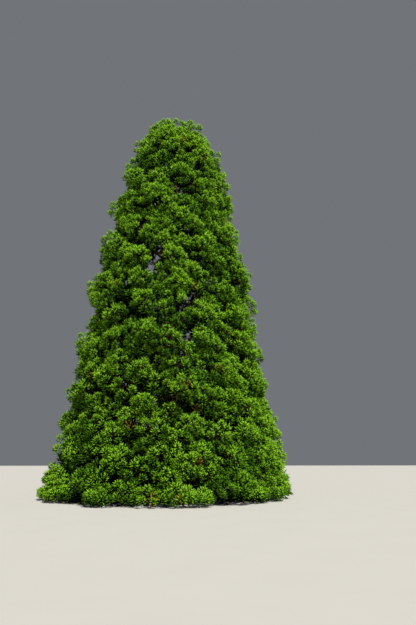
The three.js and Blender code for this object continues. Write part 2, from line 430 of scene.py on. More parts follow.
@cache
def all_masses():
    """The middle of each mass: staggered tiers with seeded unevenness, and the leader on the axis."""
    masses = []
    for level, (count, tier_height, reach) in enumerate(TIERS):
        for k in range(count):
            draw = seeded_row(MASS_SEEDS, len(masses))
            turn = 2 * math.pi / count
            around = turn * (k + level * TIER_TURN + (draw() - 0.5) * 2 * TURN_JITTER)
            jitter = LOWEST_TIER_JITTER if level == 0 else 1
            height = tier_height + (draw() - 0.5) * 2 * HEIGHT_JITTER * jitter
            outward = np.array((math.cos(around), math.sin(around), 0.0))
            point = outward * float(crown_radius(height)) * reach + (0, 0, height)
            masses.append(Mass(f"tier_{level + 1}_{k + 1}", ZONES[level], point, outward))
    up = np.array((0.0, 0.0, 1.0))
    masses.append(Mass("leader", ZONES[-1], up * LEADER_HEIGHT, up))
    return masses


def spray_tips(spacing):
    """Points spread evenly over the crown's outline by the golden turn, and the outline's normals there."""
    height = CROWN_TOP * np.sin(np.arange(AREA_STEPS + 1) / AREA_STEPS * math.pi / 2)
    radius = crown_radius(height)
    band = math.pi * (radius[1:] + radius[:-1]) * np.hypot(np.diff(height), np.diff(radius))
    area = np.concatenate(((0,), np.cumsum(band)))
    count = int(area[-1] / spacing**2)
    tips = []
    for i in range(count):
        draw = seeded_row(TIP_SEEDS, i)
        even = float(np.interp((i + 0.5) / count * area[-1], area, height))
        z = max(even + (draw() - 0.5) * SPRAY_JITTER, LOWEST_SPRAY)
        run = float(crown_radius(z))
        around = i * GOLDEN_TURN + (draw() - 0.5) * SPRAY_JITTER / max(run, 1)
        slope = float(crown_radius(z + SLOPE_STEP) - crown_radius(z - SLOPE_STEP)) / (2 * SLOPE_STEP)
        level = np.array((math.cos(around), math.sin(around), 0.0))
        tips.append((level * run + (0, 0, z), unit(level - (0, 0, slope))))
    return tips


def bough_line(mass, shares):
    """Points along a mass's bough at the given shares of its curve, and the direction it ends in."""
    run = math.hypot(mass.point[0], mass.point[1])
    tip_run = INNER_LIMIT * float(crown_radius(mass.point[2]))
    lift = LOWEST_LIFT + (HIGHEST_LIFT - LOWEST_LIFT) * (mass.point[2] / TRUNK_TOP)
    root_height = mass.point[2] - lift * run
    tip_height = mass.point[2] - (LEVEL_TIP_DROP + LIFTED_TIP_DROP * max(lift, 0)) * (run - tip_run)
    root = mass.outward * BOUGH_ROOT_DEPTH * float(trunk_radius(root_height)) + (0, 0, root_height)
    tip = mass.outward * tip_run + (0, 0, tip_height)
    into = unit(mass.point - tip)
    bend = tip - into * BOUGH_ROOT_HANDLE * tip_run - (0, 0, BOUGH_SAG * run)
    first = (root + bend) / 2
    second = tip - into * BOUGH_TIP_HANDLE * tip_run
    t = np.asarray(shares)[:, None]
    points = (1 - t) ** 3 * root + 3 * (1 - t) ** 2 * t * first + 3 * (1 - t) * t**2 * second + t**3 * tip
    return points, into


# Finer growth

@dataclass
class Growth:
    """What grows in the crown: the masses' stems, their branches, and the bunches that end the twigs."""

    branches: np.ndarray
    branch_radii: np.ndarray
    stems: np.ndarray
    stem_radii: np.ndarray
    roots: np.ndarray
    bases: np.ndarray
    aims: np.ndarray
    lengths: np.ndarray
    zones: np.ndarray
    # How light each bunch is painted: its own tone with painted light and painted shade
    light: np.ndarray
    kinds: np.ndarray


def clear_of_sky_gaps(points):
    """False for points that would close one of the openings seen from the camera."""
    eye = np.array(EYE)
    clear = np.ones(len(points), bool)
    for x, z, radius in SKY_GAPS:
        sight = unit(np.array((x, 0.0, z)) - eye)
        offset = points - eye
        away = offset - (offset @ sight)[:, None] * sight
        clear &= np.linalg.norm(away, axis=1) > radius
    return clear


def fan(axis, count, spread, start):
    """Directions spread evenly by the golden turn round an axis."""
    side = side_of(axis)
    over = np.cross(axis, side)
    i = np.arange(count)
    lean = np.arccos(1 - (i + 0.5) / count * (1 - math.cos(spread)))
    around = i * GOLDEN_TURN + start
    return (
        np.outer(np.cos(lean), axis)
        + np.outer(np.sin(lean) * np.cos(around), side)
        + np.outer(np.sin(lean) * np.sin(around), over)
    )


def in_crown(points, reach):
    """True for points above the ground and no further out than the outline, or the top, plus the reach."""
    height = points[..., 2]
    run = np.hypot(points[..., 0], points[..., 1])
    under_top = height + TOP_DOME * run**2 < CROWN_TOP - TOP_MARGIN + reach
    inside = run <= np.minimum(crown_radius(height) + reach, WIDEST_REACH)
    return (height >= GROUND_CLEARANCE) & under_top & inside


def off_ground(base, aim, size):
    """The height a bunch's base is raised by, so that few of its shoots reach into the ground."""
    lowest = base[2] - size * SHOOTS_REACH_BELOW * math.hypot(aim[0], aim[1])
    return max(0.0, LEAST_GROUND_GAP - lowest)


# Each bunch is a row: its twig's start, its base, aim, length, chance, rise in the clump and kind

def clump_bunches(middle, radius, axis, count, length, draw):
    """The bunches of one clump, whose tips lie on a low dome."""
    up = np.array((0.0, 0.0, 1.0))
    kept = []
    for direction in fan(axis, count, CLUMP_SPREAD, draw() * 2 * math.pi) * (1, 1, CLUMP_FLATNESS):
        size = length * uneven(OUTER_SIZES, draw)
        shares = uneven(OUTER_REACHES, draw) * np.array(REACH_TRIES)
        aim = unit(OWN_WAY * direction + CLUMP_WAY * axis + uneven(OUTER_RISES, draw) * up)
        tips = middle + direction * (radius * shares)[:, None]
        chance = draw()
        inside = tips[in_crown(tips, OVERREACH)]
        if len(inside) == 0:
            continue
        base = inside[0] - aim * size
        lift = off_ground(base, aim, size)
        if lift < MOST_LIFT:
            kept.append((middle, base + lift * up, aim, size, chance, direction[2], "outer"))
    return kept


def branch_bunches(line, length, draw):
    """Coarser bunches along a branch, in the shade of the crown, whose near-black tint is painted shade."""
    kept = []
    for share in BRANCH_BUNCHES:
        place = share * (len(line) - 1)
        k = int(place)
        root = line[k] + (line[k + 1] - line[k]) * (place - k)
        along = unit(line[k + 1] - line[k])
        side = side_of(along)
        turn = draw() * 2 * math.pi
        across = math.cos(turn) * side + math.sin(turn) * np.cross(along, side)
        aim = unit(BRANCH_WAY * along + across)
        size = length * uneven(INNER_SIZES, draw)
        chance = draw()
        if off_ground(root, aim, size) == 0 and in_crown(root + aim * size, UNDERREACH):
            kept.append((root - aim * TWIG_STUB, root, aim, size, chance, 0.0, "inner"))
    return kept


def fill_bunches(middle, normal, depth, length, draw):
    """Coarse bunches behind a clump, which keep the crown from being seen through and whose near-black tint
    is painted shade.
    """
    side = side_of(normal)
    over = np.cross(normal, side)
    kept = []
    for k in range(FILL_BUNCHES):
        turn = (k + draw()) * 2 * math.pi / FILL_BUNCHES
        off = (math.cos(turn) * side + math.sin(turn) * over) * uneven(FILL_OFFSETS, draw)
        base = middle + off - normal * depth * uneven(FILL_DEPTHS, draw)
        aim = unit(normal + OFFSET_WAY * off + (0, 0, FILL_UPWARD))
        size = length * uneven(INNER_SIZES, draw)
        base[2] += off_ground(base, aim, size)
        chance = draw()
        if in_crown(base + aim * size, UNDERREACH):
            kept.append((middle, base, aim, size, chance, 0.0, "inner"))
    return kept


def lump_field(point):
    """A smooth field from 0 to 1 that sets clumps back and lifts the lowest, so the crown is lumpy."""
    return min(max(0.5 + waves(*point, LUMP_WAVES) / 3, 0), 1)


def set_back(edge):
    """How far a clump may stand inside the outline: less near the top and on the skirt's full side."""
    x, y, z = edge
    side = max(0.0, x / math.hypot(x, y))
    full = side**2 * math.exp(-(((z - FULL_SIDE_HEIGHT) / FULL_SIDE_SPAN) ** 2))
    return SET_BACK * min(1, (CROWN_TOP - z) / EVEN_TOP) * (1 - full)


def stem_line(mass):
    """The stem of a mass, from its bough's tip or the trunk's top to its middle, and its radii."""
    if mass.name == "leader":
        start = np.array((0, 0, TRUNK_TOP + SEAT_GAP))
        start_radius = float(trunk_radius(TRUNK_TOP))
    else:
        points, into = bough_line(mass, (1.0,))
        start = points[0] + into * SEAT_GAP
        start_radius = BOUGH_TIP_RADIUS
    line = np.linspace(start, mass.point, LIMB_RINGS)
    return line, np.linspace(start_radius, STEM_TIP_RADIUS, LIMB_RINGS)


def clump_middle(edge, normal, radius, draw):
    """A clump's middle: set back from the outline, off the ground and under the domed top."""
    lump = lump_field(edge)
    middle = edge - normal * (CLUMP_DEPTH * radius + set_back(edge) * (lump + draw()) / 2)
    lowest = (CLUMP_RISE + CLUMP_LIFT * lump) * radius
    ceiling = CROWN_TOP - TOP_MARGIN - TOP_DOME * (middle[0] ** 2 + middle[1] ** 2)
    middle[2] = min(max(middle[2], lowest), ceiling - CLUMP_HEADROOM * radius)
    return middle


def branch_line(root, middle):
    """A branch that sags a little from its stem to its clump, and its radii."""
    length = np.linalg.norm(middle - root)
    bow = (root + middle) / 2 - (0, 0, BRANCH_BOW * length)
    t = np.linspace(0, 1, LIMB_RINGS)[:, None]
    line = (1 - t) ** 2 * root + 2 * (1 - t) * t * bow + t**2 * middle
    line[:, 2] = np.maximum(line[:, 2], 2 * GROUND_CLEARANCE)
    start_radius = BRANCH_START_RADIUS + BRANCH_RADIUS_PER_LENGTH * length
    return line, np.linspace(start_radius, BRANCH_TIP_RADIUS, LIMB_RINGS)


def bunch_tone_and_painted_light(bases, tips, chance, rise):
    """How light each bunch is: a painted highlight on top of a clump, painted shade deep in the crown, and
    uneven by chance.
    """
    depth = crown_radius(tips[:, 2]) - np.hypot(tips[:, 0], tips[:, 1])
    return (
        0.5
        + PATCH_LIGHT * waves(*bases.T, TINT_WAVES)
        + CHANCE_LIGHT * ((chance * CHANCE_TURNS) % 1 - 0.5)
        + RISE_PAINTED_LIGHT * rise
        - DEPTH_PAINTED_SHADE * (depth - DEPTH_OF_MEAN_LIGHT)
    )


@cache
def grow_crown(spacing, bunch_count, bunch_length):
    """Grows a branch from the nearest mass's stem to each clump of the crown, with its bunches."""
    masses = all_masses()
    middles = np.array([mass.point for mass in masses])
    stems, stem_radii = map(np.array, zip(*(stem_line(mass) for mass in masses)))
    branches, rows = [], []
    for index, (edge, normal) in enumerate(spray_tips(spacing)):
        draw = seeded_row(CLUMP_SEEDS, index)
        radius = CLUMP_RADIUS * uneven(CLUMP_SIZES, draw)
        middle = clump_middle(edge, normal, radius, draw)
        owner = int(np.argmin(np.linalg.norm(middles - edge, axis=1)))
        stem = stems[owner]
        root = stem[BRANCH_FORK] + (stem[-1] - stem[BRANCH_FORK]) * draw()
        branches.append(branch_line(root, middle))
        axis = unit(normal + unit(middle - root) * AXIS_ALONG_BRANCH + (0, 0, AXIS_UPWARD))
        bunches = clump_bunches(middle, radius, axis, bunch_count, bunch_length, draw)
        bunches += branch_bunches(branches[-1][0], bunch_length, draw)
        bunches += fill_bunches(middle, normal, FILL_DEPTH, bunch_length, draw)
        if edge[2] < DENSE_BELOW:
            bunches += fill_bunches(middle, normal, DEEPER_FILL * FILL_DEPTH, bunch_length, draw)
        rows += [(*bunch, masses[owner].zone) for bunch in bunches]
    roots, bases, aims, sizes, chance, rise, kinds, zones = map(np.array, zip(*rows))
    clear = clear_of_sky_gaps(bases + aims * (sizes / 2)[:, None])
    dead_share = np.where(bases[:, 2] < FOOT_OF_CROWN, DEAD_AT_FOOT, DEAD_ABOVE)
    kinds[(kinds == "outer") & (chance < dead_share)] = "dead"
    # Painted light and shade: lighter on top of a clump, darker deep in the crown
    light = bunch_tone_and_painted_light(bases, bases + aims * sizes[:, None], chance, rise)
    branch_lines, branch_radii = map(np.array, zip(*branches))
    return Growth(
        branch_lines,
        branch_radii,
        stems,
        stem_radii,
        roots[clear],
        bases[clear],
        aims[clear],
        sizes[clear],
        zones[clear],
        light[clear],
        kinds[clear],
    )


# Meshes

def add_mesh(name, vertices, *faces):
    """A mesh object in the scene, from vertices and arrays of faces with equal numbers of corners."""
    mesh = bpy.data.meshes.new(name)
    corners = [face for group in faces for face in np.asarray(group).tolist()]
    mesh.from_pydata(np.asarray(vertices).reshape(-1, 3).tolist(), [], corners)
    mesh.update()
    made = bpy.data.objects.new(name, mesh)
    bpy.context.scene.collection.objects.link(made)
    return made


def tube_faces(tubes, rings, sides):
    """Side faces of equal tubes whose vertices run by tube, ring and side, and their two caps."""
    index = np.arange(tubes * rings * sides).reshape(tubes, rings, sides)
    turned = np.roll(index, -1, axis=2)
    walls = np.stack((index[:, :-1], turned[:, :-1], turned[:, 1:], index[:, 1:]), axis=-1)
    return walls.reshape(-1, 4), index[:, 0, ::-1], index[:, -1]


def add_tubes(name, lines, radii, sides, relief=None):
    """Tapering limbs of round section along lines of points, with relief worked out round each ring."""
    tangents = unit(np.gradient(lines, axis=1))
    side = side_of(tangents)
    over = np.cross(tangents, side)
    around = np.arange(sides) * 2 * math.pi / sides
    ring = radii[:, :, None] * np.ones(sides)
    if relief is not None:
        steps = np.linalg.norm(np.diff(lines, axis=1), axis=2)
        along = np.concatenate((np.zeros((len(lines), 1)), np.cumsum(steps, axis=1)), axis=1)
        ring = ring * (1 - relief(around[None, None, :], along[:, :, None] + lines[:, :1, 2:3]))
    vertices = (
        lines[:, :, None, :]
        + (ring * np.cos(around))[..., None] * side[:, :, None, :]
        + (ring * np.sin(around))[..., None] * over[:, :, None, :]
    )
    return add_mesh(name, vertices, *tube_faces(len(lines), lines.shape[1], sides))


def furrows(around, along, ridges):
    """Interlaced fibrous ridges along a limb: 0 on a ridge and 1 in a furrow."""
    drift = sum(
        strength * np.sin(by_along * along + by_around * around + start)
        for strength, by_along, by_around, start in DRIFT_WAVES
    )
    crossing = (ridges - FEWER_CROSSING) * around / 2 - CROSSING_DRIFT * drift + CROSSING_LEAN * along
    first = np.abs(np.sin(ridges * around / 2 + RIDGE_DRIFT * drift))
    second = np.abs(np.sin(crossing))
    wander = FIBRE_WANDER * np.sin(FIBRE_BENDS * along)
    fibre = 0.5 + 0.5 * np.sin(FIBRES_PER_RIDGE * ridges * around + FIBRE_DRIFT * drift + wander)
    ridge = np.minimum(first, second) ** RIDGE_ROUNDNESS
    return np.clip(1 - ridge + FIBRE_DEPTH * fibre, 0, 1)


def bough_relief(around, along):
    """How deep a bough's bark is cut, as a share of its radius."""
    return BOUGH_FURROW * furrows(around, BOUGH_FINENESS * along, BOUGH_RIDGES)


# Shader and geometry nodes

class Term:
    """A number from a socket. Arithmetic on it adds Math nodes."""

    def __init__(self, book, socket):
        self.book = book
        self.socket = socket

    def _math(self, operation, first, second):
        node = self.book.add("ShaderNodeMath", {"operation": operation}, {0: first, 1: second})
        return Term(self.book, node.outputs[0])

    def __add__(self, other):
        return self._math("ADD", self, other)

    __radd__ = __add__

    def __mul__(self, other):
        return self._math("MULTIPLY", self, other)

    __rmul__ = __mul__

    def __sub__(self, other):
        return self._math("SUBTRACT", self, other)

    def __rsub__(self, other):
        return self._math("SUBTRACT", other, self)

    def __pow__(self, power):
        return self._math("POWER", self, power)


class NodeBook:
    """Adds nodes to one tree: a node's kind, its settings, and the values or links of its sockets."""

    def __init__(self, tree):
        self.tree = tree

    def add(self, kind, settings=None, inputs=None):
        """A new node, linked where an input is a socket or a term and set where it is a value."""
        node = self.tree.nodes.new(kind)
        for name, value in (settings or {}).items():
            setattr(node, name, value)
        for key, value in (inputs or {}).items():
            socket = node.inputs[key]
            source = value.socket if isinstance(value, Term) else value
            if isinstance(source, bpy.types.NodeSocket):
                self.tree.links.new(source, socket)
            else:
                socket.default_value = source
        return node


def new_material(name):
    """A material with an empty tree, its node book and the object's own coordinates."""
    material = bpy.data.materials.new(name)
    material.use_nodes = True
    material.node_tree.nodes.clear()
    book = NodeBook(material.node_tree)
    place = book.add("ShaderNodeTexCoord").outputs["Object"]
    return material, book, place


def close_material(book, sockets):
    """Ends a material's tree in one shader with the given values or links."""
    shader = book.add("ShaderNodeBsdfPrincipled", None, sockets)
    book.add("ShaderNodeOutputMaterial", None, {"Surface": shader.outputs[0]})


def mixable(colour, gain=1.0):
    """A colour with its alpha, brighter or darker by the gain."""
    return (*(min(channel * gain, 1.0) for channel in colour[:3]), 1.0)


def blend(book, factor, first, second):
    """A blend of two colours, which a Mix node takes at its inputs 6 and 7 and gives at its output 2."""
    node = book.add("ShaderNodeMix", {"data_type": "RGBA"}, {0: factor, 6: first, 7: second})
    return node.outputs[2]


def shades(book, factor, colour, gains):
    """A colour that runs between a darker and a lighter shade of it."""
    darkest, lightest = gains
    return blend(book, factor, mixable(colour, darkest), mixable(colour, lightest))


def noise(book, place, pattern):
    """Uneven values round 0.5 over a place."""
    scale, detail, roughness = pattern
    inputs = {"Vector": place, "Scale": scale, "Detail": detail, "Roughness": roughness}
    return Term(book, book.add("ShaderNodeTexNoise", None, inputs).outputs[0])


def bark_material(name, dark, light, stretch):
    """Fibrous bark: long streaks between a dark and a light brown, and greyer in patches."""
    material, book, place = new_material(name)
    fineness = (FIBRE_FINENESS, FIBRE_FINENESS, FIBRE_FINENESS / stretch)
    fibres = book.add("ShaderNodeMapping", None, {"Vector": place, "Scale": fineness}).outputs[0]
    streaks = noise(book, fibres, STREAKS)
    patches = noise(book, place, PATCHES)
    pits = noise(book, fibres, PITS)
    lightness = (streaks * STREAK_CONTRAST - STREAK_CUT) * (PATCH_LEAST + patches * PATCH_GAIN)
    base = blend(book, lightness, mixable(dark), mixable(light))
    grey = [GREY_COLOUR * channel + GREY_LIGHT * sum(light) for channel in light]
    tint = blend(book, patches**GREY_NARROWNESS, base, mixable(grey))
    height = streaks + pits * PIT_DEPTH
    relief = {"Strength": BARK_BUMP, "Distance": BARK_BUMP_DEPTH, "Height": height}
    bump = book.add("ShaderNodeBump", None, relief)
    sockets = {
        "Base Color": tint,
        "Roughness": BARK_ROUGHNESS - pits * PIT_SMOOTHNESS,
        "Normal": bump.outputs[0],
        "Specular IOR Level": BARK_SHINE,
    }
    close_material(book, sockets)
    return material


def needle_material(name, colour):
    """One tint of needles, a little uneven from bunch to bunch."""
    material, book, place = new_material(name)
    blotches = noise(book, place, BLOTCHES)
    sockets = {
        "Base Color": shades(book, blotches, colour, BLOTCH_GAINS),
        "Roughness": NEEDLE_ROUGHNESS + blotches * BLOTCH_ROUGHNESS,
        "Specular IOR Level": NEEDLE_SHINE,
    }
    close_material(book, sockets)
    return material


def floor_material(colour):
    """A plain pale floor, barely uneven."""
    material, book, place = new_material("pale floor")
    tint = shades(book, noise(book, place, GRAIN), colour, GRAIN_GAINS)
    close_material(book, {"Base Color": tint, "Roughness": FLOOR_ROUGHNESS})
    return material


def bunch_instancer():
    """A tree that puts a bunch of shoots on each point and makes one mesh of them."""
    tree = bpy.data.node_groups.new("Bunches on twigs", "GeometryNodeTree")
    face = tree.interface
    face.new_socket("Twig ends", in_out="INPUT", socket_type="NodeSocketGeometry")
    face.new_socket("Bunches", in_out="INPUT", socket_type="NodeSocketCollection")
    face.new_socket("Seed", in_out="INPUT", socket_type="NodeSocketInt")
    face.new_socket("Needles", in_out="INPUT", socket_type="NodeSocketMaterial")
    face.new_socket("Foliage", in_out="OUTPUT", socket_type="NodeSocketGeometry")
    book = NodeBook(tree)
    given = book.add("NodeGroupInput").outputs
    named = "GeometryNodeInputNamedAttribute"
    aim = book.add(named, {"data_type": "FLOAT_VECTOR"}, {"Name": "aim"}).outputs[0]
    length = book.add(named, {"data_type": "FLOAT"}, {"Name": "length"}).outputs[0]
    bunches = book.add(
        "GeometryNodeCollectionInfo",
        None,
        {"Collection": given["Bunches"], "Separate Children": True, "Reset Children": True},
    )
    aligned = book.add("FunctionNodeAlignRotationToVector", {"axis": "Z"}, {"Vector": aim})
    # A Random Value node takes the greatest decimal number that it may give at its input 3
    limits = {"Seed": given["Seed"], 3: 2 * math.pi}
    roll = book.add("FunctionNodeRandomValue", {"data_type": "FLOAT"}, limits)
    turn = book.add("ShaderNodeCombineXYZ", None, {"Z": roll.outputs[1]})
    spin = book.add("FunctionNodeEulerToRotation", None, {0: turn.outputs[0]})
    turned = book.add(
        "FunctionNodeRotateRotation",
        {"rotation_space": "LOCAL"},
        {"Rotation": aligned.outputs[0], "Rotate By": spin.outputs[0]},
    )
    placed = book.add(
        "GeometryNodeInstanceOnPoints",
        None,
        {
            "Points": given["Twig ends"],
            "Instance": bunches.outputs[0],
            "Pick Instance": True,
            "Rotation": turned.outputs[0],
            "Scale": length,
        },
    )
    whole = book.add("GeometryNodeRealizeInstances", None, {0: placed.outputs[0]})
    dressed = {"Geometry": whole.outputs[0], "Material": given["Needles"]}
    done = book.add("GeometryNodeSetMaterial", None, dressed)
    book.add("NodeGroupOutput", None, {0: done.outputs[0]})
    return tree


def set_input(modifier, name, value):
    """Sets a modifier's input, found by its name and set by its identifier."""
    for item in modifier.node_group.interface.items_tree:
        if item.item_type == "SOCKET" and item.in_out == "INPUT" and item.name == name:
            modifier[item.identifier] = value
            return
    raise RuntimeError(f"the tree has no input named {name}")


# Bunches of shoots

def add_shoot(vertices, faces, root, direction, length, width, roll):
    """A shoot is a keeled blade of four faces: root, tip and the two edges of its belly."""
    side = side_of(direction)
    over = np.cross(direction, side)
    across = (math.cos(roll) * side + math.sin(roll) * over) * width / 2
    keel = (math.cos(roll) * over - math.sin(roll) * side) * width * SHOOT_KEEL
    belly = root + direction * length * SHOOT_BELLY
    tip = root + direction * length - keel * SHOOT_DROOP
    start = len(vertices)
    vertices += [root, belly - across + keel, belly + across + keel, tip]
    faces += [(start + i, start + j, start + k) for i, j, k in SHOOT_FACES]


@dataclass
class Plume:
    """One kind of bunch: its variants, and how many, how low, how spread and how broad its shoots are."""

    name: str
    variants: int
    shoots: int
    foot: float
    spread: float
    broadness: float


PLUMES = (
    Plume("young shoots", 8, 21, 0.2, 1.5, 1.0),
    Plume("older shoots", 8, 9, 0.05, 2.2, 1.4),
    Plume("inner shoots", 4, 7, 0.1, 2.4, 2.0),
)


def bunch_collection(plume, shoot_width):
    """Variants of a plume one unit long: shoots from its axis whose tips lie on a dome."""
    collection = bpy.data.collections.new(plume.name)
    first, step = PLUME_SEEDS
    for variant in range(plume.variants):
        draw = seeded(first + step * variant + plume.shoots)
        vertices, faces = [], []
        for ray in fan(np.array((0.0, 0.0, 1.0)), plume.shoots, plume.spread, variant):
            sway = np.array((draw() - 0.5, draw() - 0.5, draw() - 0.5)) * DOME_SWAY
            tip = (0, 0, DOME_MIDDLE) + ray * DOME_RADII * uneven(DOME_REACHES, draw) + sway
            tip[2] = min(tip[2], 1)
            axle = np.array((0, 0, plume.foot + AXLE_RISE * max(ray[2], 0)))
            root = axle + (tip - axle) * SHOOT_START
            length = np.linalg.norm(tip - root)
            along = (tip - root) / length
            width = shoot_width * plume.broadness * uneven(SHOOT_WIDTHS, draw)
            add_shoot(vertices, faces, root, along, length, width, draw() * SHOOT_ROLL)
        mesh = bpy.data.meshes.new(f"{plume.name} {variant}")
        mesh.from_pydata([tuple(v) for v in vertices], [], faces)
        mesh.shade_smooth()
        collection.objects.link(bpy.data.objects.new(mesh.name, mesh))
    return collection


def point_cloud(name, points, aims, lengths):
    """Loose points that carry each bunch's direction and length."""
    holder = add_mesh(name, points)
    aim = holder.data.attributes.new("aim", "FLOAT_VECTOR", "POINT")
    aim.data.foreach_set("vector", aims.astype(np.float32).ravel())
    length = holder.data.attributes.new("length", "FLOAT", "POINT")
    length.data.foreach_set("value", lengths.astype(np.float32))
    return holder


def press_on_ground(mesh):
    """Presses what would reach into the ground into a thin layer on it, without folding any shape."""
    points = np.empty(len(mesh.vertices) * 3, np.float32)
    mesh.vertices.foreach_get("co", points)
    height = points[2::3]
    low = height < PRESSED_LAYER
    height[low] = PRESSED_LAYER * np.exp(height[low] / PRESSED_LAYER - 1)
    mesh.vertices.foreach_set("co", points)
    mesh.update()


def plain_mesh(holder, name):
    """What a modifier makes of a holder, as a mesh object of its own."""
    evaluated = holder.evaluated_get(bpy.context.evaluated_depsgraph_get())
    mesh = bpy.data.meshes.new_from_object(evaluated)
    mesh.name = name
    holder.modifiers.clear()
    bpy.data.objects.remove(holder)
    press_on_ground(mesh)
    made = bpy.data.objects.new(name, mesh)
    bpy.context.scene.collection.objects.link(made)
    return made


def add_foliage(name, tree, collection, growth, chosen, seed, material):
    """One piece of foliage: bunches of one kind and tint on the chosen twig ends."""
    holder = point_cloud(name + " ends", growth.bases[chosen], growth.aims[chosen], growth.lengths[chosen])
    modifier = holder.modifiers.new("Bunches on twigs", "NODES")
    modifier.node_group = tree
    set_input(modifier, "Bunches", collection)
    set_input(modifier, "Seed", seed)
    set_input(modifier, "Needles", material)
    return plain_mesh(holder, name)


def finish_piece(piece, nodes=(), material=None):
    """Gives a piece its material, the nodes it stands for and the tree's body."""
    if material is not None:
        piece.data.materials.append(material)
    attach(piece, "root")
    if nodes:
        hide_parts(*nodes)


# What a user would change

class SequoiaSizes(bpy.types.PropertyGroup):
    """Sizes of the finer growth."""

    spacing: bpy.props.FloatProperty(
        name="Clump spacing", description="Distance between clumps", default=1.02, min=0.4, unit="LENGTH"
    )
    bunches: bpy.props.IntProperty(name="Bunches", description="Bunches in each clump", default=14, min=4)
    bunch_length: bpy.props.FloatProperty(
        name="Bunch length", description="Length of a bunch of shoots", default=0.45, unit="LENGTH"
    )
    shoot_width: bpy.props.FloatProperty(
        name="Shoot width", description="Width of a shoot as a share of its bunch", default=0.1, min=0.02
    )
    furrow_depth: bpy.props.FloatProperty(
        name="Furrow depth", description="Depth of the trunk's furrows", default=0.05, unit="LENGTH"
    )


def colour_property(name, description, default):
    """A colour that the panel shows with a picker."""
    return bpy.props.FloatVectorProperty(
        name=name, description=description, default=default, subtype="COLOR"
    )


class SequoiaColours(bpy.types.PropertyGroup):
    """Colours of the finishes."""

    # Fresh, pale and shaded are lit, middle and shaded copies of the tips' green: painted light and painted
    # shade. Mid and deep are the older shoots' darker green, painted lit and painted shaded. The older
    # shoots' darkness is partly their age and partly painted shade at each bunch's base
    fresh: colour_property("Fresh tips", "Yellow-green shoot tips", (0.152, 0.328, 0.014))
    pale: colour_property("Pale tips", "Duller shoot tips", (0.092, 0.23, 0.008))
    shaded: colour_property("Shaded tips", "Shoot tips set back in the crown", (0.046, 0.13, 0.005))
    mid: colour_property("Mid green", "Older shoots in the light", (0.055, 0.145, 0.005))
    deep: colour_property("Deep green", "Older shoots in deep shade", (0.018, 0.048, 0.002))
    # Near-black, painted shade inside the crown
    inner: colour_property("Inner green", "Shoots inside the crown", (0.004, 0.01, 0.001))
    rust: colour_property("Rust", "Dead sprays", (0.15, 0.085, 0.01))
    bark: colour_property("Bark", "Ridges of the bark", (0.15, 0.068, 0.034))
    furrow: colour_property("Furrows", "Furrows of the bark", (0.06, 0.03, 0.018))
    # Dark brown, partly painted shade inside the crown
    twig: colour_property("Twigs", "Bark of branches and twigs", (0.03, 0.021, 0.007))
    floor: colour_property("Floor", "The pale floor", (0.4, 0.4, 0.39))


# Operators

class SEQUOIA_OT_trunk(bpy.types.Operator):
    """Makes the trunk with its root flare and furrowed bark"""

    bl_idname = "sequoia.trunk"
    bl_label = "Trunk"

    def execute(self, context):
        sizes, colours = context.scene.sequoia_sizes, context.scene.sequoia_colours
        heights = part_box("trunk")[1].z * np.linspace(0, 1, TRUNK_RINGS) ** TRUNK_RINGS_LOW
        turns = np.arange(TRUNK_SIDES) * 2 * math.pi / TRUNK_SIDES
        height, around = np.meshgrid(heights, turns, indexing="ij")
        wider = WIDER_FLUTE_SHARE * np.cos(WIDER_FLUTES * around + WIDER_FLUTE_TURN)
        flute = np.cos(ROOT_FLUTES * around) + wider
        fade = ROOT_FLUTE_DEPTH * np.exp(-height / (2 * ROOT_FLARE_HEIGHT))
        depth = sizes.furrow_depth * np.minimum(1, trunk_radius(height) / TRUNK_RADIUS)
        radius = trunk_radius(height) * (1 + fade * flute) - depth * furrows(around, height, TRUNK_RIDGES)
        vertices = np.stack((radius * np.cos(around), radius * np.sin(around), height), axis=-1)
        trunk = add_mesh("trunk_bark", vertices, *tube_faces(1, TRUNK_RINGS, TRUNK_SIDES))
        bark = bark_material("trunk bark", colours.furrow, colours.bark, TRUNK_STRETCH)
        finish_piece(trunk, ["trunk"], bark)
        return {"FINISHED"}


class SEQUOIA_OT_boughs(bpy.types.Operator):
    """Makes the main boughs with their bark, from the trunk to each mass"""

    bl_idname = "sequoia.boughs"
    bl_label = "Boughs"

    def execute(self, context):
        colours = context.scene.sequoia_colours
        masses = [mass for mass in all_masses() if mass.name != "leader"]
        shares = np.linspace(0, 1, BOUGH_RINGS)
        lines = np.array([bough_line(mass, shares)[0] for mass in masses])
        lengths = np.linalg.norm(np.diff(lines, axis=1), axis=2).sum(axis=1)
        start = BOUGH_TIP_RADIUS + BOUGH_RADIUS_PER_LENGTH * lengths
        radii = start[:, None] + (BOUGH_TIP_RADIUS - start[:, None]) * shares
        boughs = add_tubes("boughs_bark", lines, radii, BOUGH_SIDES, bough_relief)
        ridge = [BOUGH_SHADE * channel for channel in colours.bark]
        bark = bark_material("bough bark", colours.furrow, ridge, BOUGH_STRETCH)
        finish_piece(boughs, ["bough_" + mass.name for mass in masses], bark)
        return {"FINISHED"}


